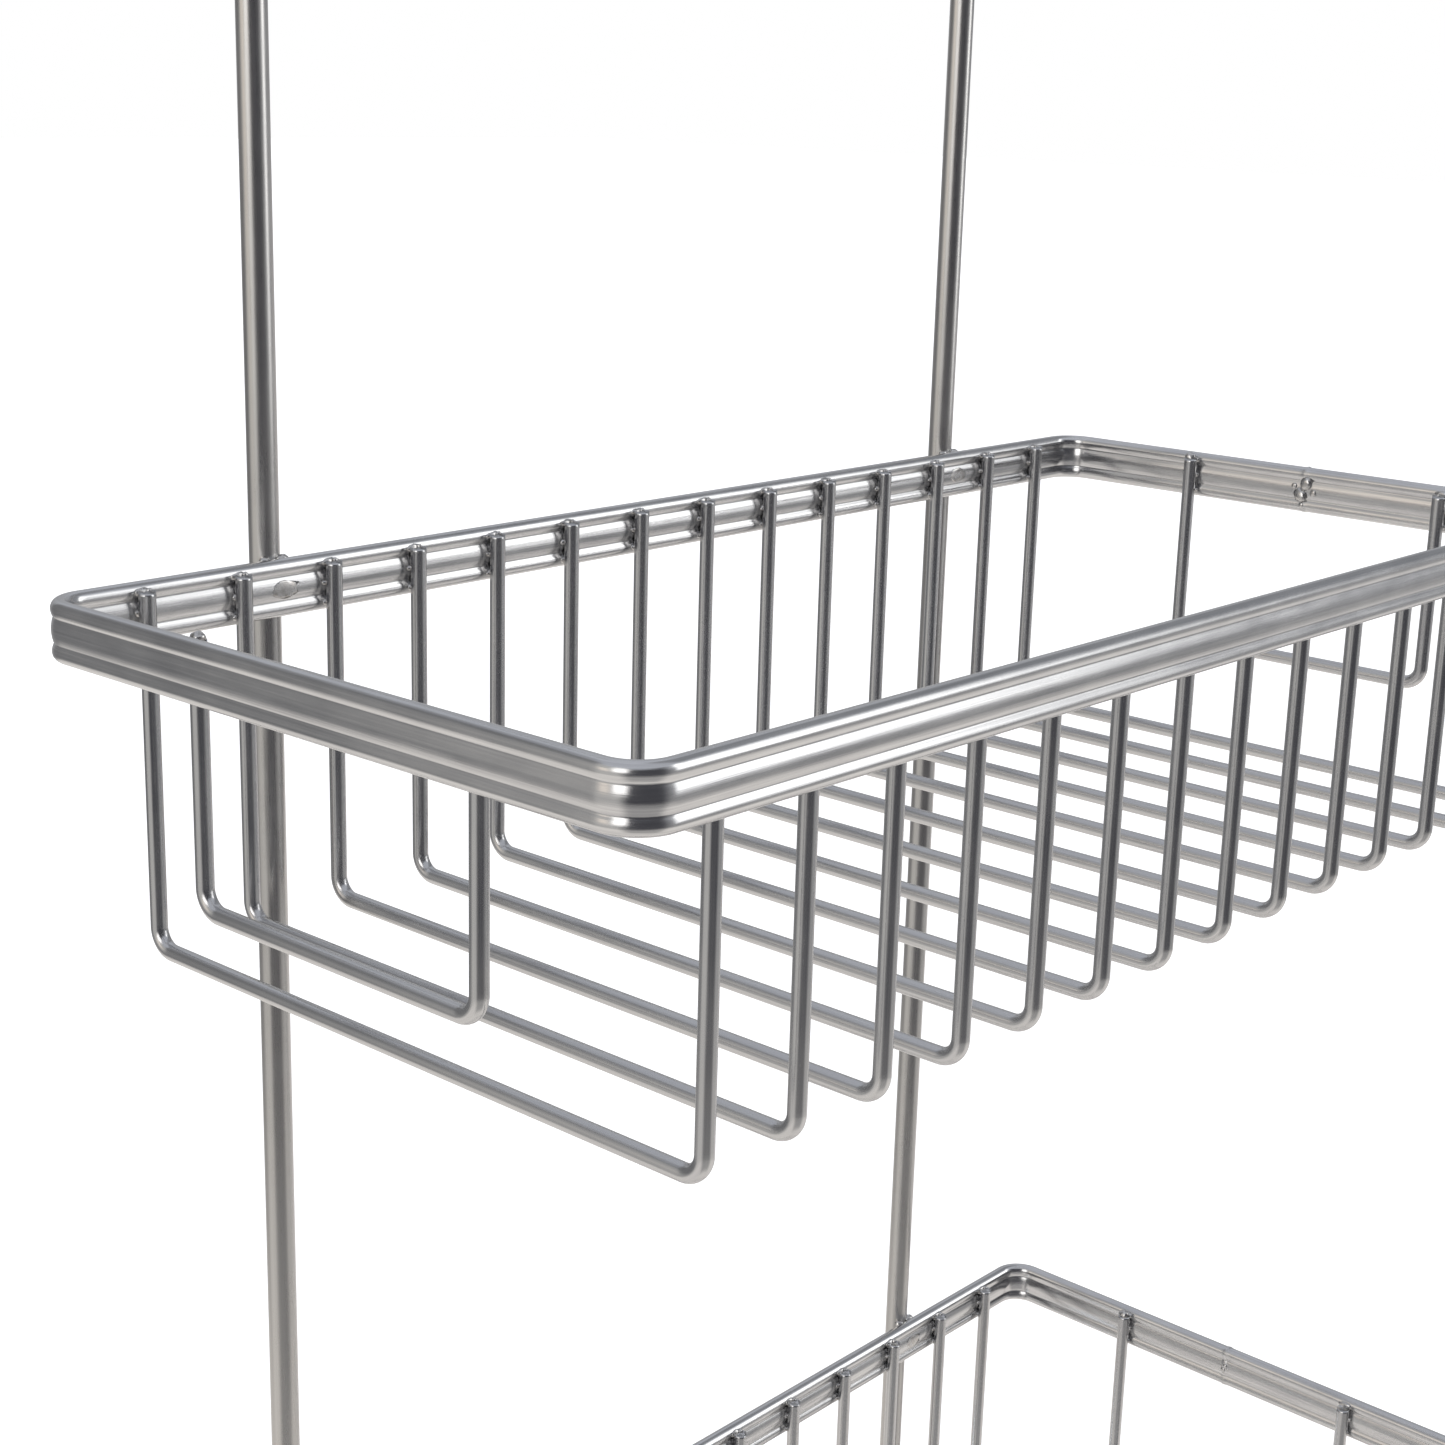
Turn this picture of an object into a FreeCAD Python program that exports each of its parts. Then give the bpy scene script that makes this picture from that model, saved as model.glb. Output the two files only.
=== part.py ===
import FreeCAD, Part
import os
from math import asin, cos, pi, sin, sqrt

# Two-tier wire shower caddy that hangs over the top edge of a glass shower screen.
# Millimetres. +X runs along the baskets, +Y from the user towards the screen, +Z up.
# The origin is on the screen's top edge: midway between the two hooks, in the middle
# of the glass, where the hook sleeves rest on it.

# ---- driving dimensions: baskets ----
wire_d = 3.0              # basket and guard wire
wire_count = 14           # U-shaped wires in a basket
wire_pitch = 20.0         # between the centres of neighbouring wires
end_margin = 19.5         # rim's outer end face to the centre of the first wire
basket_depth = 138.5      # front to back over the rim
rim_height = 10.5
rim_rib = 3.0             # height of the rim strip's top and bottom ribs
rim_half = 1.6            # half the strip's thickness at its three ribs
rim_groove_half = 1.2     # half its thickness at the two grooves between them
rim_corner_r = 8.0        # outer face of the rim's corners
wire_top_drop = 1.2       # rim's top down to the wire ends
wire_floor_drop = 65.0    # rim's top down to the centre of the floor wires
wire_bend_r = 4.0         # centre line of a basket wire's or guard's bends
guard_floor_drop = 45.5   # rim's top down to the centre of a guard's bottom run
guard_front = 34.8        # rim's front face to the guard's front leg
guard_span = 64.4         # between the guard's two legs
weld_bite = 0.15          # how far a welded wire sinks into what it is welded to
end_round = 0.5           # rounding on every cut wire end
same_size = 0.01          # lengths that differ by less are taken as equal

# ---- driving dimensions: hanging frame ----
rod_d = 5.5
tier_spacing = 230.0      # rim top to rim top
first_tier_drop = 190.0   # screen's top edge down to the upper rim's top
rod_wire_gap = 1.5        # a rod stands midway between the second and third wires from each end
screen_thick = 8.0        # glass panel
hook_width = 32.0         # centre line of the rod to the centre line of the tail
hook_bend_r = 9.0         # centre line of the hook's two bends
hook_tail = 42.0          # screen's top edge down to the tail's end
rod_foot = 26.0           # floor wires down to the rod's lower end
sleeve_wall = 1.25
sleeve_play = 0.05        # radial play between the sleeve and the rod
sleeve_front = 24.0       # screen's top edge down to the sleeve's front end
sleeve_tip = 2.0          # closed end below the tail

# ---- driving dimensions: suction cups ----
cup_lip_r = 21.0
cup_lip_edge = 1.4        # thickness at the lip
cup_lip_flat = 2.0        # width of the flat ring that meets the glass
cup_hollow = 4.5          # depth of the hollow behind the lip
cup_dome = 8.0            # lip's plane forward to where the dome meets the neck
cup_shoulder = 0.62       # the dome's arc passes this share of the lip's radius and of its depth
cup_neck_r = 5.0
cup_head_r = 7.5
cup_rise = 11.0           # rod's lower end up to the cup's axis

# ---- derived dimensions ----
wire_r = wire_d / 2
rod_r = rod_d / 2
basket_length = 2 * end_margin + (wire_count - 1) * wire_pitch
sleeve_r = rod_r + sleeve_play + sleeve_wall
rod_x = ((wire_count - 1) / 2 - rod_wire_gap) * wire_pitch
tail_y = screen_thick / 2 + hook_bend_r
rod_y = tail_y - hook_width
back_y = rod_y - rod_r + weld_bite
front_y = back_y - basket_depth
hook_top = sleeve_r
upper_top = -first_tier_drop
lower_top = upper_top - tier_spacing
rod_end = lower_top - wire_floor_drop - rod_foot
cup_z = rod_end + cup_rise
cup_face_y = -screen_thick / 2

Y = FreeCAD.Vector(0, 1, 0)
Z = FreeCAD.Vector(0, 0, 1)


def point(x, y, z):
    return FreeCAD.Vector(x, y, z)


def circle_wire(centre, axis, radius):
    return Part.Wire(Part.makeCircle(radius, centre, axis))


def bent_path(corners, bend_r):
    """A path of straight runs through the corners, with a tangent arc at each inner one."""
    edges = []
    start = corners[0]
    for before, corner, after in zip(corners, corners[1:], corners[2:]):
        back = (before - corner).normalize()
        ahead = (after - corner).normalize()
        middle = (back + ahead).normalize()
        half = back.getAngle(ahead) / 2
        reach = bend_r * cos(half) / sin(half)
        crown = corner + middle * (bend_r / sin(half) - bend_r)
        arc_start = corner + back * reach
        arc_end = corner + ahead * reach
        edges.append(Part.LineSegment(start, arc_start).toShape())
        edges.append(Part.Arc(arc_start, crown, arc_end).toShape())
        start = arc_end
    edges.append(Part.LineSegment(start, corners[-1]).toShape())
    return Part.Wire(edges)


def swept(corners, bend_r, radius):
    """A round bar along a bent path."""
    axis = (corners[1] - corners[0]).normalize()
    section = circle_wire(corners[0], axis, radius)
    return bent_path(corners, bend_r).makePipeShell([section], True, False)


def rounded_ends(bar, ends, radius):
    """Rounds the circular edges whose centres are the bar's ends."""
    rims = []
    for edge in bar.Edges:
        if edge.Curve.TypeId != "Part::GeomCircle":
            continue
        centre = edge.Curve.Center
        if abs(edge.Length - 2 * pi * radius) > same_size:
            continue
        if min((centre - end).Length for end in ends) < same_size:
            rims.append(edge)
    return bar.makeFillet(end_round, rims)


def bent_bar(corners, bend_r, radius):
    """A cut length of round wire or rod, bent along a path, with rounded ends."""
    return rounded_ends(swept(corners, bend_r, radius), [corners[0], corners[-1]], radius)


# ---- basket rim ----

def rim_section(y, top):
    """A strip with a round top and foot and three ribs on both faces, across Y."""
    low = top - rim_height
    sag = rim_half - rim_groove_half
    flank = rim_rib - rim_half
    flank_r = (flank ** 2 + sag ** 2) / (2 * sag)
    half_way = asin(flank / flank_r) / 2
    flank_half = rim_half - flank_r * (1 - cos(half_way))
    flank_rise = rim_half + flank_r * sin(half_way)
    round_half = rim_half * sqrt(0.5)
    foot = [(0, 0), (round_half, rim_half - round_half), (rim_half, rim_half),
            (flank_half, flank_rise), (rim_groove_half, rim_rib)]
    head = [(half, rim_height - rise) for half, rise in reversed(foot)]
    levels = foot + [(rim_half, rim_height / 2)] + head
    edges = []
    for side in (1, -1):
        ring = [point(0, y + side * half, low + rise) for half, rise in levels]
        for first, middle, last in zip(ring[0::2], ring[1::2], ring[2::2]):
            edges.append(Part.Arc(first, middle, last).toShape())
    return Part.Wire(Part.__sortEdges__(edges))


def rounded_rectangle(half_x, y_low, y_high, corner_r, z):
    """A closed path that starts in the middle of its back side and runs towards -X."""
    corners = [point(0, y_high, z), point(-half_x, y_high, z), point(-half_x, y_low, z),
               point(half_x, y_low, z), point(half_x, y_high, z), point(0, y_high, z)]
    return bent_path(corners, corner_r)


def basket_rim(top):
    path = rounded_rectangle(basket_length / 2 - rim_half, front_y + rim_half,
                             back_y - rim_half, rim_corner_r - rim_half, top)
    return path.makePipeShell([rim_section(back_y - rim_half, top)], True, False)


# ---- basket wires ----

inner_gap = 2 * rim_half + wire_r - weld_bite   # rim's outer face to a welded wire's centre


def basket_wire(x, top):
    """A U from the rim's front, under the basket, to the rim's back."""
    front = front_y + inner_gap
    back = back_y - inner_gap
    corners = [point(x, front, top - wire_top_drop), point(x, front, top - wire_floor_drop),
               point(x, back, top - wire_floor_drop), point(x, back, top - wire_top_drop)]
    return bent_bar(corners, wire_bend_r, wire_r)


def end_guard(side, top):
    """A shallower U that closes an end of the basket, welded inside the rim's end."""
    x = side * (basket_length / 2 - inner_gap)
    front = front_y + guard_front
    back = front + guard_span
    corners = [point(x, front, top - wire_top_drop), point(x, front, top - guard_floor_drop),
               point(x, back, top - guard_floor_drop), point(x, back, top - wire_top_drop)]
    return bent_bar(corners, wire_bend_r, wire_r)


def wire_positions():
    return [(number - (wire_count - 1) / 2) * wire_pitch for number in range(wire_count)]


# ---- hanging rods ----

def hook_corners(x, foot, tail):
    return [point(x, rod_y, foot), point(x, rod_y, hook_top),
            point(x, tail_y, hook_top), point(x, tail_y, tail)]


def hanging_rod(x):
    """An upright that both rims are welded to, bent back over the screen at the top."""
    return bent_bar(hook_corners(x, rod_end, -hook_tail), hook_bend_r, rod_r)


def hook_sleeve(x):
    """A soft tube on the hook, closed below its tail, that keeps metal off the glass."""
    tip = -hook_tail - sleeve_tip
    outer = rounded_ends(swept(hook_corners(x, -sleeve_front, tip), hook_bend_r, sleeve_r),
                         [point(x, tail_y, tip)], sleeve_r)
    bore_corners = hook_corners(x, -sleeve_front, -hook_tail - sleeve_play)
    return outer.cut(swept(bore_corners, hook_bend_r, rod_r + sleeve_play))


# ---- suction cups ----

def suction_cup(x):
    """A soft cup on the rod's foot: a round head that the rod passes through, and a dome."""
    face = cup_face_y
    head_y = rod_y
    neck_front = head_y + sqrt(cup_head_r ** 2 - cup_neck_r ** 2)
    dome_top = face - cup_dome
    lip_front = face - cup_lip_edge
    flat_inner = cup_lip_r - cup_lip_flat
    hollow_r = (flat_inner ** 2 + cup_hollow ** 2) / (2 * cup_hollow)
    hollow_y = face - cup_hollow + hollow_r
    half_way = asin(flat_inner / hollow_r) / 2
    outline = [
        Part.Arc(point(x, head_y - cup_head_r, 0),
                 point(x + cup_head_r, head_y, 0),
                 point(x + cup_neck_r, neck_front, 0)).toShape(),
        Part.LineSegment(point(x + cup_neck_r, neck_front, 0),
                         point(x + cup_neck_r, dome_top, 0)).toShape(),
        Part.Arc(point(x + cup_neck_r, dome_top, 0),
                 point(x + cup_shoulder * cup_lip_r, face - cup_shoulder * cup_dome, 0),
                 point(x + cup_lip_r, lip_front, 0)).toShape(),
        Part.LineSegment(point(x + cup_lip_r, lip_front, 0),
                         point(x + cup_lip_r, face, 0)).toShape(),
        Part.LineSegment(point(x + cup_lip_r, face, 0),
                         point(x + flat_inner, face, 0)).toShape(),
        Part.Arc(point(x + flat_inner, face, 0),
                 point(x + hollow_r * sin(half_way), hollow_y - hollow_r * cos(half_way), 0),
                 point(x, face - cup_hollow, 0)).toShape(),
        Part.LineSegment(point(x, face - cup_hollow, 0),
                         point(x, head_y - cup_head_r, 0)).toShape(),
    ]
    profile = Part.Face(Part.Wire(outline))
    cup = profile.revolve(point(x, 0, 0), Y, 360)
    cup.translate(point(0, 0, cup_z))
    hole_r = rod_r + sleeve_play
    hole = Part.makeCylinder(hole_r, 4 * cup_head_r, point(x, rod_y, cup_z - 2 * cup_head_r), Z)
    return cup.cut(hole)


# ---- the assembly ----

def build():
    parts = {}
    for tier, top in (("upper", upper_top), ("lower", lower_top)):
        parts[tier + "_rim"] = basket_rim(top)
        for number, x in enumerate(wire_positions(), 1):
            parts["%s_wire_%02d" % (tier, number)] = basket_wire(x, top)
        for name, side in (("left", -1), ("right", 1)):
            parts["%s_end_guard_%s" % (tier, name)] = end_guard(side, top)
    for name, side in (("left", -1), ("right", 1)):
        parts["hanging_rod_" + name] = hanging_rod(side * rod_x)
        parts["hook_sleeve_" + name] = hook_sleeve(side * rod_x)
        parts["suction_cup_" + name] = suction_cup(side * rod_x)
    return parts


os.makedirs("parts", exist_ok=True)
for name, shape in build().items():
    solid = shape.Solids[0] if len(shape.Solids) == 1 else shape
    box = solid.BoundBox
    print("%-24s %s solids %d volume %.1f  x %.2f %.2f  y %.2f %.2f  z %.2f %.2f" % (
        name, "valid" if solid.isValid() else "INVALID", len(shape.Solids), solid.Volume,
        box.XMin, box.XMax, box.YMin, box.YMax, box.ZMin, box.ZMax))
    solid.exportStep("parts/%s.step" % name)
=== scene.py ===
import math

import bpy
from mathutils import Euler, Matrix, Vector, noise


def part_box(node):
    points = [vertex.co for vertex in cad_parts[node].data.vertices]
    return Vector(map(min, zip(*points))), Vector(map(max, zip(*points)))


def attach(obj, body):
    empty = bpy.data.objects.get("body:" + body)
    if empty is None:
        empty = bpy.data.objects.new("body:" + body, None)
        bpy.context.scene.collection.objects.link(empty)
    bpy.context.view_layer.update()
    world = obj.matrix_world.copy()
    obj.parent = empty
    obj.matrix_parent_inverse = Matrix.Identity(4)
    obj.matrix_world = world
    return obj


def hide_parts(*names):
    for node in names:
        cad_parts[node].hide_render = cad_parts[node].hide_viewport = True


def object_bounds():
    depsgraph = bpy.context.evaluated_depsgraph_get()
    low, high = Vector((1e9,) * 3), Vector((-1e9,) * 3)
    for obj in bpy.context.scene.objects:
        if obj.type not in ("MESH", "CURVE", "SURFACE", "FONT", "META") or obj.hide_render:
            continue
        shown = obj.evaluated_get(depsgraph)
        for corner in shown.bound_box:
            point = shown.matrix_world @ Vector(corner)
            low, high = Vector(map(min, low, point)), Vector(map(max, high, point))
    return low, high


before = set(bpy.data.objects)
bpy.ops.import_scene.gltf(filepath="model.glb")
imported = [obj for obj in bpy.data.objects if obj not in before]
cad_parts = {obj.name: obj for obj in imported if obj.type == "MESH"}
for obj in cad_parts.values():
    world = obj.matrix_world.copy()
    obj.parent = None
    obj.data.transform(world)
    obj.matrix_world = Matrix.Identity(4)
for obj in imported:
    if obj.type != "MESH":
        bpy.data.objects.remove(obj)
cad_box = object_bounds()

MM = 0.001
TIERS = ("upper", "lower")
SIDES = ("left", "right")

# Sizes that the frame's boxes don't give, as in the design.
RIM_HALF = 1.6 * MM              # half the rim strip's thickness at its three ribs
RIM_GROOVE_HALF = 1.2 * MM       # at the two grooves between them
RIM_RIB = 3.0 * MM               # height of the top and bottom ribs
RIM_CORNER_R = 8.0 * MM          # outer face
WIRE_BEND_R = 4.0 * MM
FRONT_END_DROP = 0.6 * MM        # the wires' front ends are cut this much lower than their back ends
HOOK_BEND_R = 9.0 * MM
SEAM_PROUD = 0.16 * MM           # the rim's butt weld above the strip's face
SEAM_WIDTH = 0.55 * MM
SEAM_ROUGH = 0.9                 # share by which noise changes the butt weld's height
SEAM_LUMP = 0.9 * MM             # size of that noise
END_DISH = 0.5 * MM              # depth of the ring-shaped dent in a cut end
SLEEVE_TIP = 2.0 * MM            # closed end of a hook sleeve, below the rod's tail

# Where each kind of piece starts in the noise. Only the two baskets' guards start alike.
RIM_TIER_SEED = 10.0
WIRE_TIER_SEED = 20.0
GUARD_SEED = 50.0
ROD_SEED = 70.0
WELD_TIER_SEED = 500

# How finely meshes are divided.
ARC_STEPS = 18                   # along each quarter bend
EASE = 0.8 * MM                  # a ring this close to a bend or end keeps a straight's shading even
RUN_STEP = 12 * MM               # longest step along a straight
CAP_STEPS = 4                    # across the dent in a cut end
SEAM_STEP = 0.4 * MM             # between the rim's rings near its butt weld
SEAM_RINGS = 16                  # rings on each side of the butt weld
AROUND_WIRE = 28
AROUND_ROD = 40
ROUND_STEPS = 9                  # along each quarter round of the rim's section
FLANK_STEPS = 5                  # from an outer rib's crest to the groove
RIB_STEPS = 14                   # along the rim's middle rib
BLOB_RINGS = 9                   # from pole to pole of a weld blob
BLOB_AROUND = 14


# ---------------------------------------------------------------- mesh helpers

def new_piece(name, verts, faces, material, grain=None):
    """A smooth mesh object that rides on the one body, with its straightened-out grain."""
    mesh = bpy.data.meshes.new(name)
    mesh.from_pydata(verts, [], faces)
    mesh.validate()
    mesh.shade_smooth()
    if grain:
        layer = mesh.attributes.new("grain", "FLOAT_VECTOR", "POINT")
        layer.data.foreach_set("vector", [value for triple in grain for value in triple])
    piece = bpy.data.objects.new(name, mesh)
    bpy.context.scene.collection.objects.link(piece)
    mesh.materials.append(material)
    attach(piece, "root")
    return piece


def skin(ring_count, ring_size, closed):
    """Quads between successive rings of vertices."""
    faces = []
    for ring in range(ring_count if closed else ring_count - 1):
        here = ring * ring_size
        there = (ring + 1) % ring_count * ring_size
        for k in range(ring_size):
            n = (k + 1) % ring_size
            faces.append((here + k, there + k, there + n, here + n))
    return faces


def bent_line(corners, bend_r):
    """Points along straight runs and the tangent arcs between them, in a plane."""
    points = [corners[0]]

    def run_to(target):
        start = points[-1]
        length = (target - start).length
        steps = max(1, math.ceil(length / RUN_STEP))
        shares = [k / steps for k in range(1, steps)]
        points.extend(start.lerp(target, share)
                      for share in [EASE / length, *shares, 1 - EASE / length, 1])

    for before, corner, after in zip(corners, corners[1:], corners[2:]):
        back = (before - corner).normalized()
        ahead = (after - corner).normalized()
        half = back.angle(ahead) / 2
        reach = bend_r / math.tan(half)
        centre = corner + (back + ahead).normalized() * (bend_r / math.sin(half))
        run_to(corner + back * reach)
        first = corner + back * reach - centre
        last = corner + ahead * reach - centre
        sweep = first.angle(last)
        for k in range(1, ARC_STEPS + 1):
            t = k / ARC_STEPS
            blend = first * math.sin((1 - t) * sweep) + last * math.sin(t * sweep)
            points.append(centre + blend / math.sin(sweep))
    run_to(corners[-1])
    return points


def tube(points, radius, around, start_seed):
    """Vertices, faces and grain of a round bar whose path lies in a plane across X."""
    count = len(points)
    ways = []
    for k in range(count):
        way = points[min(k + 1, count - 1)] - points[max(k - 1, 0)]
        ways.append(way.normalized())
    runs = [0.0]
    for here, there in zip(points, points[1:]):
        runs.append(runs[-1] + (there - here).length)

    depths = [END_DISH * (1 - math.sin(math.pi / 2 * k / CAP_STEPS)) for k in range(CAP_STEPS + 1)]
    rings = [(points[0] + ways[0] * depth, ways[0], radius - depth, depth) for depth in depths]
    for k in range(1, count - 1):
        rings.append((points[k], ways[k], radius, runs[k]))
    for depth in reversed(depths):
        rings.append((points[-1] - ways[-1] * depth, ways[-1], radius - depth, runs[-1] - depth))

    side = Vector((1, 0, 0))
    verts = []
    grain = []
    for centre, way, ring_r, run in rings:
        up = side.cross(way)
        for k in range(around):
            turn = 2 * math.pi * k / around
            across = math.cos(turn)
            rise = math.sin(turn)
            verts.append(centre + (side * across + up * rise) * ring_r)
            grain.append((across * ring_r, rise * ring_r, run + start_seed))
    faces = skin(len(rings), around, False)
    for ring, centre in ((0, points[0]), (len(rings) - 1, points[-1])):
        hub = len(verts)
        verts.append(centre)
        grain.append((0.0, 0.0, rings[ring][3] + start_seed))
        for k in range(around):
            n = (k + 1) % around
            a, b = ring * around + k, ring * around + n
            faces.append((hub, a, b) if ring == 0 else (hub, b, a))
    return verts, faces, grain


# ---------------------------------------------------------------- materials

# Noises as (scale per metre, detail, seed). The first four run along the strip or wire.
LINES = ((6000, 6000, 60), 4, 3.0)
CLOUDS = ((260, 260, 90), 3, 11.0)
PITS = ((3000, 3000, 2600), 2, 23.0)
STREAKS = ((2000, 2000, 20), 3, 31.0)
WELD_LUMPS = ((900, 900, 900), 3, 5.0)
HAZE = ((160, 160, 160), 4, 7.0)

NOISE_LOW, NOISE_HIGH = 0.3, 0.7         # most of a noise's values lie between these
CLOUD_TONE, STREAK_TONE = 0.4, 0.6       # their shares in the steel's colour
CLOUD_ROUGH = (-0.02, 0.03)              # what clouds add to the roughness
PIT_SHARE = 0.2                          # height of the pits beside the lines'
LINE_DEPTH = 0.02 * MM
WELD_DARK, WELD_LIGHT = (0.54, 0.52, 0.50), (0.66, 0.66, 0.66)
WELD_ROUGH = (0.18, 0.30)
WELD_BUMP, WELD_DEPTH = 0.1, 0.1 * MM
PVC_LIGHT = (0.95, 0.96, 0.96)
PVC_IOR = 1.46
PVC_HAZE_ROUGH = 0.12                    # what haze adds to the roughness at most
PVC_BUMP, PVC_DEPTH = 0.15, 0.1 * MM


def link(tree, source, target):
    tree.links.new(source, target)


def math_node(tree, operation, *operands):
    node = tree.nodes.new("ShaderNodeMath")
    node.operation = operation
    for socket, value in zip(node.inputs, operands):
        if isinstance(value, (int, float)):
            socket.default_value = value
        else:
            link(tree, value, socket)
    return node.outputs["Value"]


def material(name):
    made = bpy.data.materials.new(name)
    made.use_nodes = True
    tree = made.node_tree
    return made, tree, tree.nodes["Principled BSDF"]


def stretched_noise(tree, coords, scale, detail, seed):
    stretch = tree.nodes.new("ShaderNodeMapping")
    stretch.inputs["Scale"].default_value = scale
    stretch.inputs["Location"].default_value = (seed, seed, seed)
    link(tree, coords, stretch.inputs["Vector"])
    texture = tree.nodes.new("ShaderNodeTexNoise")
    texture.inputs["Scale"].default_value = 1.0
    texture.inputs["Detail"].default_value = detail
    link(tree, stretch.outputs["Vector"], texture.inputs["Vector"])
    return texture.outputs["Fac"]


def spread(tree, value, low, high):
    """A noise's usual values spread from low to high."""
    ramp = tree.nodes.new("ShaderNodeMapRange")
    ramp.inputs["From Min"].default_value = NOISE_LOW
    ramp.inputs["From Max"].default_value = NOISE_HIGH
    ramp.inputs["To Min"].default_value = low
    ramp.inputs["To Max"].default_value = high
    link(tree, value, ramp.inputs["Value"])
    return ramp.outputs["Result"]


def mixed_colour(tree, factor, first, second):
    mix = tree.nodes.new("ShaderNodeMix")
    mix.data_type = "RGBA"
    mix.inputs["A"].default_value = (*first, 1)
    mix.inputs["B"].default_value = (*second, 1)
    link(tree, factor, mix.inputs["Factor"])
    return mix.outputs["Result"]


def bump_up(tree, shader, height, strength, depth):
    bump = tree.nodes.new("ShaderNodeBump")
    bump.inputs["Strength"].default_value = strength
    bump.inputs["Distance"].default_value = depth
    link(tree, height, bump.inputs["Height"])
    link(tree, bump.outputs["Normal"], shader.inputs["Normal"])


def satin_steel(name, dark, light, rough_low, rough_high, line_bump):
    """Stainless steel with fine lines and streaks along its length, cloudy patches and pits."""
    made, tree, shader = material(name)
    coords = tree.nodes.new("ShaderNodeAttribute")
    coords.attribute_name = "grain"
    straight = coords.outputs["Vector"]
    lines = stretched_noise(tree, straight, *LINES)
    clouds = stretched_noise(tree, straight, *CLOUDS)
    pits = stretched_noise(tree, straight, *PITS)
    streaks = stretched_noise(tree, straight, *STREAKS)
    shader.inputs["Metallic"].default_value = 1.0
    tone = math_node(tree, "ADD", spread(tree, clouds, 0, CLOUD_TONE), spread(tree, streaks, 0, STREAK_TONE))
    link(tree, mixed_colour(tree, tone, dark, light), shader.inputs["Base Color"])
    rough = math_node(tree, "ADD", spread(tree, lines, rough_low, rough_high),
                      spread(tree, clouds, *CLOUD_ROUGH))
    link(tree, rough, shader.inputs["Roughness"])
    height = math_node(tree, "MULTIPLY_ADD", pits, PIT_SHARE, lines)
    bump_up(tree, shader, height, line_bump, LINE_DEPTH)
    return made


def weld_steel(name):
    """Bright lumpy weld metal with a little heat tint."""
    made, tree, shader = material(name)
    coords = tree.nodes.new("ShaderNodeTexCoord")
    lumps = stretched_noise(tree, coords.outputs["Object"], *WELD_LUMPS)
    shader.inputs["Metallic"].default_value = 1.0
    link(tree, mixed_colour(tree, spread(tree, lumps, 0, 1), WELD_DARK, WELD_LIGHT),
         shader.inputs["Base Color"])
    link(tree, spread(tree, lumps, *WELD_ROUGH), shader.inputs["Roughness"])
    bump_up(tree, shader, lumps, WELD_BUMP, WELD_DEPTH)
    return made


def soft_pvc(name, tint, roughness, transmission):
    """Clear soft plastic, faintly cloudy."""
    made, tree, shader = material(name)
    coords = tree.nodes.new("ShaderNodeTexCoord")
    haze = stretched_noise(tree, coords.outputs["Object"], *HAZE)
    shader.inputs["Transmission Weight"].default_value = transmission
    shader.inputs["IOR"].default_value = PVC_IOR
    link(tree, mixed_colour(tree, spread(tree, haze, 0, 1), tint, PVC_LIGHT), shader.inputs["Base Color"])
    link(tree, spread(tree, haze, roughness, roughness + PVC_HAZE_ROUGH), shader.inputs["Roughness"])
    bump_up(tree, shader, haze, PVC_BUMP, PVC_DEPTH)
    return made


RIM_STEEL = satin_steel("rim_satin_steel", (0.54, 0.54, 0.55), (0.72, 0.72, 0.72), 0.16, 0.25, 0.5)
WIRE_STEEL = satin_steel("wire_satin_steel", (0.57, 0.57, 0.58), (0.62, 0.62, 0.62), 0.20, 0.26, 0.05)
ROD_STEEL = satin_steel("rod_satin_steel", (0.57, 0.56, 0.545), (0.64, 0.63, 0.615), 0.26, 0.32, 0.06)
WELD_STEEL = weld_steel("weld_metal")
SLEEVE_PVC = soft_pvc("sleeve_pvc", (0.86, 0.88, 0.88), 0.16, 0.85)
CUP_PVC = soft_pvc("cup_pvc", (0.84, 0.87, 0.88), 0.08, 0.9)


# ---------------------------------------------------------------- basket rims

def rim_section():
    """The strip's section as (outward from its middle, up from its foot), all the way round."""
    low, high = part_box("upper_rim")
    height = high.z - low.z
    sag = RIM_HALF - RIM_GROOVE_HALF
    flank = RIM_RIB - RIM_HALF
    flank_r = (flank ** 2 + sag ** 2) / (2 * sag)
    flank_turn = math.asin(flank / flank_r)
    rib_half = height / 2 - RIM_RIB
    rib_r = (rib_half ** 2 + sag ** 2) / (2 * sag)
    rib_turn = math.asin(rib_half / rib_r)
    foot = []
    for k in range(ROUND_STEPS):
        turn = math.pi / 2 * k / ROUND_STEPS
        foot.append((RIM_HALF * math.sin(turn), RIM_HALF - RIM_HALF * math.cos(turn)))
    for k in range(FLANK_STEPS + 1):
        turn = flank_turn * k / FLANK_STEPS
        foot.append((RIM_HALF - flank_r * (1 - math.cos(turn)), RIM_HALF + flank_r * math.sin(turn)))
    rib = []
    for k in range(1, RIB_STEPS):
        turn = -rib_turn + 2 * rib_turn * k / RIB_STEPS
        rib.append((RIM_HALF - rib_r * (1 - math.cos(turn)), height / 2 + rib_r * math.sin(turn)))
    head = [(out, height - rise) for out, rise in reversed(foot)]
    right = foot + rib + head[:-1]
    left = [(-out, height - rise) for out, rise in right]
    return right + left


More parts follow.
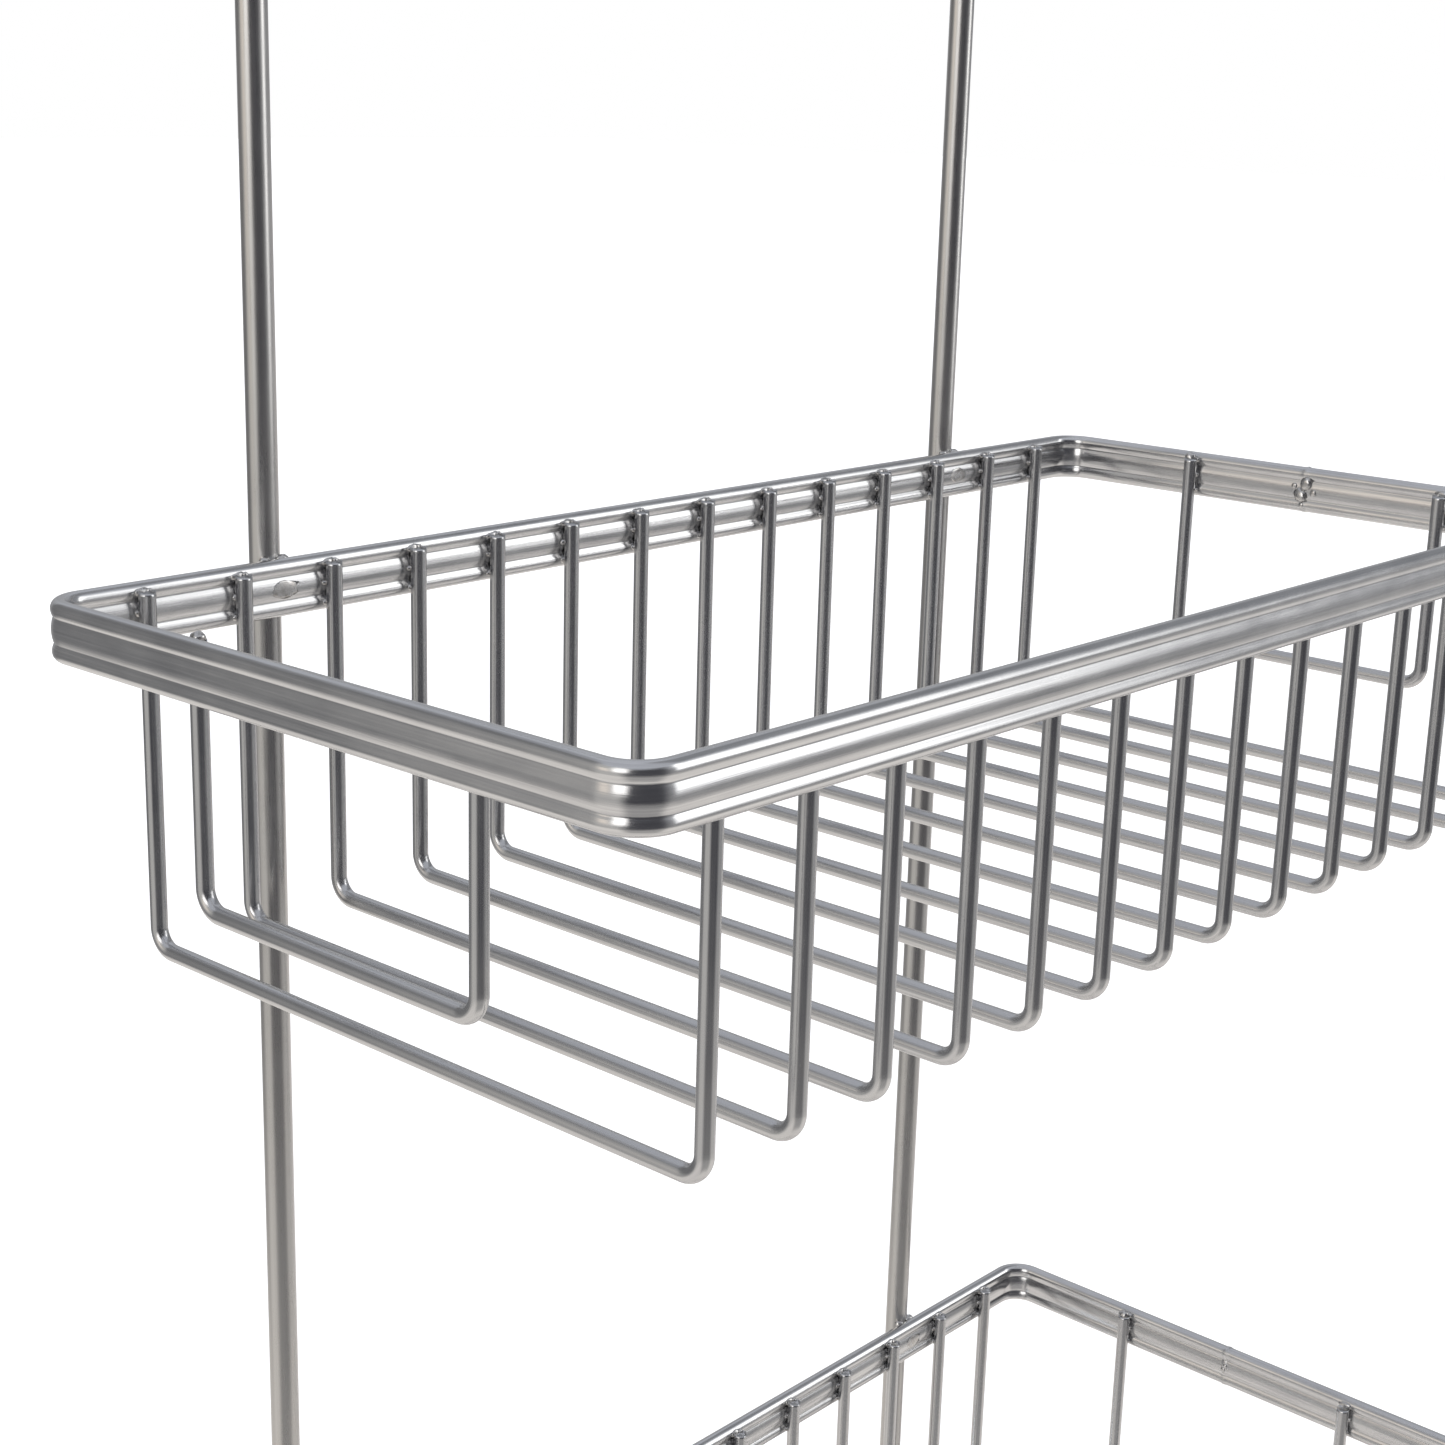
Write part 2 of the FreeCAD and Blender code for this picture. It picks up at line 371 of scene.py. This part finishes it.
def rim_path(tier):
    """(point, outward way, run) round the strip's middle, from the middle of its right end."""
    low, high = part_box(tier + "_rim")
    x = high.x - RIM_HALF
    y_low, y_high = low.y + RIM_HALF, high.y - RIM_HALF
    r = RIM_CORNER_R - RIM_HALF
    y_mid = (y_low + y_high) / 2
    stops = []
    for k in range(SEAM_RINGS + 1):
        stops.append((Vector((x, y_mid + SEAM_STEP * k, low.z)), Vector((1, 0, 0))))
    corners = ((x - r, y_high - r, 0), (-x + r, y_high - r, 90),
               (-x + r, y_low + r, 180), (x - r, y_low + r, 270))
    for cx, cy, start in corners:
        centre = Vector((cx, cy, low.z))
        arc = []
        for k in range(ARC_STEPS + 1):
            turn = math.radians(start + 90 * k / ARC_STEPS)
            way = Vector((math.cos(turn), math.sin(turn), 0))
            arc.append((centre + way * r, way))
        first, last = arc[0][1], arc[-1][1]
        stops.append((centre + first * r - last * EASE, first))
        stops += arc
        stops.append((centre + last * r - first * EASE, last))
    for k in range(SEAM_RINGS, 0, -1):
        stops.append((Vector((x, y_mid - SEAM_STEP * k, low.z)), Vector((1, 0, 0))))
    runs = [0.0]
    for (here, _), (there, _) in zip(stops, stops[1:]):
        runs.append(runs[-1] + (there - here).length)
    return [(place, way, run) for (place, way), run in zip(stops, runs)]


def seam_swell(offset, seed):
    """How much the strip's surface stands proud at a distance from its butt weld."""
    ridge = SEAM_PROUD * math.exp(-(offset / SEAM_WIDTH) ** 2)
    return ridge * (1 + SEAM_ROUGH * noise.noise(seed))


def make_rim(tier):
    section = rim_section()
    path = rim_path(tier)
    low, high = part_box(tier + "_rim")
    middle = (high.z - low.z) / 2
    length = path[-1][2] + SEAM_STEP
    seed = RIM_TIER_SEED * TIERS.index(tier)
    verts = []
    grain = []
    for place, way, run in path:
        offset = min(run, length - run)
        for out, rise in section:
            swell = seam_swell(offset, Vector((out, rise, run)) / SEAM_LUMP + Vector((seed, 0, 0)))
            up = middle + (rise - middle) * (1 + swell / middle)
            verts.append(place + way * out * (1 + swell / RIM_HALF) + Vector((0, 0, up)))
            grain.append((out, rise, run + seed))
    faces = skin(len(path), len(section), True)
    piece = new_piece(tier + "_rim_strip", verts, faces, RIM_STEEL, grain)
    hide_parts(tier + "_rim")


# ---------------------------------------------------------------- basket wires

def make_u_wire(node, seed):
    """A U-shaped wire in a plane across X, from its CAD box."""
    low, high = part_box(node)
    radius = (high.x - low.x) / 2
    x = (low.x + high.x) / 2
    front, back = low.y + radius, high.y - radius
    floor = low.z + radius
    corners = [Vector((x, front, high.z - FRONT_END_DROP)), Vector((x, front, floor)),
               Vector((x, back, floor)), Vector((x, back, high.z))]
    verts, faces, grain = tube(bent_line(corners, WIRE_BEND_R), radius, AROUND_WIRE, seed)
    piece = new_piece(node + "_satin", verts, faces, WIRE_STEEL, grain)
    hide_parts(node)


def make_basket(tier):
    make_rim(tier)
    nodes = sorted(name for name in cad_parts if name.startswith(tier + "_wire_"))
    for number, node in enumerate(nodes):
        make_u_wire(node, number + WIRE_TIER_SEED * TIERS.index(tier))
    for number, side in enumerate(SIDES):
        make_u_wire(tier + "_end_guard_" + side, GUARD_SEED + number)
    make_welds(tier)


# ---------------------------------------------------------------- welds

# Half sizes of the kinds of weld. On the rim's ends sideways() turns them.
RIB_HALF = Vector((1.75, 0.55, 0.75)) * MM       # a nugget where a wire crosses a rib of the rim
SPECK_HALF = Vector((0.55, 0.5, 0.45)) * MM      # spatter on a wire's back end
BALL_HALF = Vector((1.2, 1.3, 1.1)) * MM         # the ball on the end of a guard's back leg
FILLET_HALF = Vector((1.3, 1.0, 0.8)) * MM       # a bead beside a rod, at the rim's top or foot
PRINT_HALF = Vector((3.2, 0.12, 1.6)) * MM       # heat mark inside the rim, in front of a rod
SEAM_HALF = Vector((0.5, 0.9, 0.9)) * MM         # a bead of size 1 inside the butt weld

# Where they sit.
SPECK_SHIFT = Vector((0.9, -0.6, -0.1)) * MM     # from the rim's inner face at a wire's back end
BALL_ABOVE = 0.3 * MM                            # a guard's end
FILLET_ASIDE = 1.9 * MM                          # of a rod's centre line
FILLET_BEHIND = 0.1 * MM                         # the rim's back face
FILLET_ABOVE_FOOT, FILLET_BELOW_TOP = 0.7 * MM, 0.5 * MM
PRINT_SUNK = 0.05 * MM                           # into the rim's inner face

# The butt weld's beads as (along the strip in mm, up in mm, size), and their scale on each tier.
SEAM_BEADS = ((-0.6, 1.6, 1.6), (0.7, -1.2, 1.8), (-2.6, -0.3, 0.9), (2.4, 0.8, 0.8), (0.2, -3.5, 0.7))
SEAM_SCALE = {"upper": 1.0, "lower": 0.4}

LUMP_DEPTH = 0.3                                 # share by which noise changes a blob's size
LUMP_RATE = 1.4                                  # how fast that noise varies over a blob
BLOB_STRIDE = 3.7                                # from one blob to the next in the noise


def blob(centre, half, number):
    """Vertices and faces of a lumpy ellipsoid of weld metal."""
    ways = []
    for ring in range(1, BLOB_RINGS):
        rise = math.pi * ring / BLOB_RINGS
        for k in range(BLOB_AROUND):
            turn = 2 * math.pi * k / BLOB_AROUND
            ways.append(Vector((math.sin(rise) * math.cos(turn), math.sin(rise) * math.sin(turn),
                                math.cos(rise))))
    ways += [Vector((0, 0, 1)), Vector((0, 0, -1))]
    verts = []
    for way in ways:
        lump = 1 + LUMP_DEPTH * noise.noise(way * LUMP_RATE + Vector((number * BLOB_STRIDE, 0, number)))
        verts.append(centre + Vector([w * h for w, h in zip(way, half)]) * lump)
    faces = skin(BLOB_RINGS - 1, BLOB_AROUND, False)
    last_ring = (BLOB_RINGS - 2) * BLOB_AROUND
    top, foot = len(ways) - 2, len(ways) - 1
    for k in range(BLOB_AROUND):
        n = (k + 1) % BLOB_AROUND
        faces.append((top, k, n))
        faces.append((foot, last_ring + n, last_ring + k))
    return verts, faces


def sideways(half):
    """The same half sizes for a weld on the rim's end instead of its long side."""
    return Vector((half.y, half.x, half.z))


def rib_rises(tier):
    low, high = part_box(tier + "_rim")
    return (low.z + RIM_HALF, (low.z + high.z) / 2, high.z - RIM_HALF)


def wire_welds(tier):
    """(centre, half sizes) of the nuggets between wires and rim, and what is on the wires' ends."""
    low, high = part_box(tier + "_rim")
    inner = 2 * RIM_HALF
    welds = []
    for node in sorted(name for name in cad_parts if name.startswith(tier + "_wire_")):
        wire_low, wire_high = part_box(node)
        x = (wire_low.x + wire_high.x) / 2
        for y in (low.y + inner, high.y - inner):
            for z in rib_rises(tier):
                welds.append((Vector((x, y, z)), RIB_HALF))
        welds.append((Vector((x, high.y - inner, wire_high.z)) + SPECK_SHIFT, SPECK_HALF))
    for side, inward in zip(SIDES, (1, -1)):
        guard_low, guard_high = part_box(tier + "_end_guard_" + side)
        radius = (guard_high.x - guard_low.x) / 2
        x = low.x + inner if side == "left" else high.x - inner
        for y in (guard_low.y + radius, guard_high.y - radius):
            for z in rib_rises(tier):
                welds.append((Vector((x, y, z)), sideways(RIB_HALF)))
        end = Vector((x + inward * radius, guard_high.y - radius, guard_high.z + BALL_ABOVE))
        welds.append((end, BALL_HALF))
    return welds


def rod_welds(tier):
    """Beads on both sides of each rod, at the rim's top and foot, and the marks inside it."""
    low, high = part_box(tier + "_rim")
    welds = []
    for side in SIDES:
        rod_low, rod_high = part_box("hanging_rod_" + side)
        x = (rod_low.x + rod_high.x) / 2
        for z in (low.z + FILLET_ABOVE_FOOT, high.z - FILLET_BELOW_TOP):
            for way in (-1, 1):
                centre = Vector((x + way * FILLET_ASIDE, high.y + FILLET_BEHIND, z))
                welds.append((centre, FILLET_HALF))
        centre = Vector((x, high.y - 2 * RIM_HALF + PRINT_SUNK, rib_rises(tier)[1]))
        welds.append((centre, PRINT_HALF))
    return welds


def seam_welds(tier):
    """Beads on the inner face of the butt weld, in the middle of the rim's right end."""
    low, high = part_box(tier + "_rim")
    middle = Vector((high.x - 2 * RIM_HALF, (low.y + high.y) / 2, (low.z + high.z) / 2))
    scale = SEAM_SCALE[tier]
    return [(middle + Vector((0, along, rise)) * scale * MM, SEAM_HALF * size * scale)
            for along, rise, size in SEAM_BEADS]


def make_welds(tier):
    verts = []
    faces = []
    for number, (centre, half) in enumerate(wire_welds(tier) + rod_welds(tier) + seam_welds(tier)):
        first = len(verts)
        more, skins = blob(centre, half, number + WELD_TIER_SEED * TIERS.index(tier))
        verts += more
        faces += [tuple(first + k for k in face) for face in skins]
    new_piece(tier + "_welds", verts, faces, WELD_STEEL)


# ---------------------------------------------------------------- hanging rods and fittings

def make_rod(side):
    node = "hanging_rod_" + side
    low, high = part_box(node)
    radius = (high.x - low.x) / 2
    sleeve_low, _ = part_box("hook_sleeve_" + side)
    x = (low.x + high.x) / 2
    front, back = low.y + radius, high.y - radius
    top = high.z - radius
    tail = sleeve_low.z + SLEEVE_TIP
    corners = [Vector((x, front, low.z)), Vector((x, front, top)),
               Vector((x, back, top)), Vector((x, back, tail))]
    verts, faces, grain = tube(bent_line(corners, HOOK_BEND_R), radius, AROUND_ROD,
                               ROD_SEED + SIDES.index(side))
    piece = new_piece(node + "_satin", verts, faces, ROD_STEEL, grain)
    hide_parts(node)


def finish_fittings(side):
    for node, made in (("hook_sleeve_" + side, SLEEVE_PVC), ("suction_cup_" + side, CUP_PVC)):
        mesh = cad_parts[node].data
        mesh.materials.clear()
        mesh.materials.append(made)


# ---------------------------------------------------------------- stage, light and camera

FLOOR_GAP = 40 * MM              # below the caddy's lowest point
FLOOR_HALF = 12.0                # half its side in metres
FLOOR_TONE = 0.9
FLOOR_GLOW = 0.75                # its own light, so that it stays pale under the caddy

# Light of the room by elevation in degrees, from below to the zenith.
STUDIO_GRADIENT = (
    (-90, (0.90, 0.86, 0.82)),
    (-29, (0.92, 0.88, 0.84)),
    (-21, (0.36, 0.36, 0.36)),
    (-6, (0.34, 0.34, 0.35)),
    (18, (0.46, 0.47, 0.49)),
    (42, (0.57, 0.59, 0.64)),
)

# Soft patches on top of it, as (azimuths, their softness, elevations, their softness, colour).
# Azimuth is counted from the user's side towards +X, elevation from the horizon, in degrees.
STUDIO_PATCHES = (
    ((-190, -132), 10, (-26, 42), 9, (0.22, 0.22, 0.225)),
    ((-134, -60), 9, (-25, 36), 7, (0.60, 0.59, 0.57)),
    ((-72, 16), 14, (-58, -24), 8, (0.46, 0.45, 0.44)),
    ((-72, 16), 14, (-26, 38), 4, (0.08, 0.08, 0.09)),
    ((63, 110), 6, (-10, 75), 8, (0.29, 0.30, 0.32)),
    ((35, 54), 5, (-6, 36), 6, (2.4, 2.4, 2.4)),
    ((-92, -64), 6, (0, 36), 6, (2.3, 2.25, 2.2)),
    ((-122, -100), 8, (-3, 14), 5, (1.22, 1.10, 0.98)),
    ((74, 140), 10, (-34, -6), 10, (0.85, 0.82, 0.80)),
)

CAMERA_LENS = 59.73                              # in mm, for the sensor's width below
CAMERA_SENSOR = 36.0
CAMERA_CLIP = 0.01                               # nearest distance it sees, in metres
CAMERA_PLACE = (-0.3599, -0.3616, -0.1048)
CAMERA_TURN = (74.885, -1.503, -47.885)          # in degrees


def make_floor():
    low, _ = cad_box
    z = low[2] - FLOOR_GAP
    half = FLOOR_HALF
    verts = [(-half, -half, z), (half, -half, z), (half, half, z), (-half, half, z)]
    mesh = bpy.data.meshes.new("studio_floor")
    mesh.from_pydata(verts, [], [(0, 1, 2, 3)])
    floor = bpy.data.objects.new("studio_floor", mesh)
    bpy.context.scene.collection.objects.link(floor)
    made, tree, shader = material("studio_floor")
    shader.inputs["Base Color"].default_value = (FLOOR_TONE, FLOOR_TONE, FLOOR_TONE, 1)
    shader.inputs["Roughness"].default_value = 1.0
    shader.inputs["Specular IOR Level"].default_value = 0.0
    shader.inputs["Emission Color"].default_value = (1, 1, 1, 1)
    shader.inputs["Emission Strength"].default_value = FLOOR_GLOW
    mesh.materials.append(made)
    floor.visible_glossy = False


def soft_step(tree, value, start, end):
    step = tree.nodes.new("ShaderNodeMapRange")
    step.interpolation_type = "SMOOTHSTEP"
    step.inputs["From Min"].default_value = math.radians(start)
    step.inputs["From Max"].default_value = math.radians(end)
    link(tree, value, step.inputs["Value"])
    return step.outputs["Result"]


def soft_band(tree, value, limits, soft):
    """1 between two angles and 0 outside them, over soft edges."""
    return math_node(tree, "MULTIPLY", soft_step(tree, value, limits[0] - soft, limits[0] + soft),
                     soft_step(tree, value, limits[1] + soft, limits[1] - soft))


def make_studio():
    """Light from all round: a grey room with a pale foot, dark and bright patches and softboxes."""
    world = bpy.data.worlds.new("studio")
    bpy.context.scene.world = world
    world.use_nodes = True
    tree = world.node_tree
    background = tree.nodes["Background"]
    coords = tree.nodes.new("ShaderNodeTexCoord")
    parts = tree.nodes.new("ShaderNodeSeparateXYZ")
    link(tree, coords.outputs["Generated"], parts.inputs["Vector"])
    front = math_node(tree, "MULTIPLY", parts.outputs["Y"], -1.0)
    azimuth = math_node(tree, "ARCTAN2", parts.outputs["X"], front)
    elevation = math_node(tree, "ARCSINE", parts.outputs["Z"])
    ramp = tree.nodes.new("ShaderNodeValToRGB")
    link(tree, math_node(tree, "MULTIPLY_ADD", elevation, 1 / math.pi, 0.5), ramp.inputs["Fac"])
    while len(ramp.color_ramp.elements) < len(STUDIO_GRADIENT):
        ramp.color_ramp.elements.new(0.5)
    for element, (angle, colour) in zip(ramp.color_ramp.elements, STUDIO_GRADIENT):
        element.position = angle / 180 + 0.5
        element.color = (*colour, 1)
    colour = ramp.outputs["Color"]
    for azimuths, az_soft, elevations, el_soft, tint in STUDIO_PATCHES:
        inside = math_node(tree, "MULTIPLY", soft_band(tree, azimuth, azimuths, az_soft),
                           soft_band(tree, elevation, elevations, el_soft))
        mix = tree.nodes.new("ShaderNodeMix")
        mix.data_type = "RGBA"
        mix.clamp_result = False
        link(tree, inside, mix.inputs["Factor"])
        link(tree, colour, mix.inputs["A"])
        mix.inputs["B"].default_value = (*tint, 1)
        colour = mix.outputs["Result"]
    rays = tree.nodes.new("ShaderNodeLightPath")
    seen = tree.nodes.new("ShaderNodeMix")
    seen.data_type = "RGBA"
    link(tree, rays.outputs["Is Camera Ray"], seen.inputs["Factor"])
    link(tree, colour, seen.inputs["A"])
    seen.inputs["B"].default_value = (1, 1, 1, 1)
    link(tree, seen.outputs["Result"], background.inputs["Color"])


def make_camera():
    camera = bpy.data.cameras.new("camera")
    camera.lens = CAMERA_LENS
    camera.sensor_width = CAMERA_SENSOR
    camera.clip_start = CAMERA_CLIP
    holder = bpy.data.objects.new("camera", camera)
    bpy.context.scene.collection.objects.link(holder)
    holder.location = CAMERA_PLACE
    holder.rotation_euler = Euler([math.radians(angle) for angle in CAMERA_TURN])
    bpy.context.scene.camera = holder


for tier in TIERS:
    make_basket(tier)
for side in SIDES:
    make_rod(side)
    finish_fittings(side)
make_floor()
make_studio()
make_camera()
bpy.context.scene.view_settings.view_transform = "Standard"
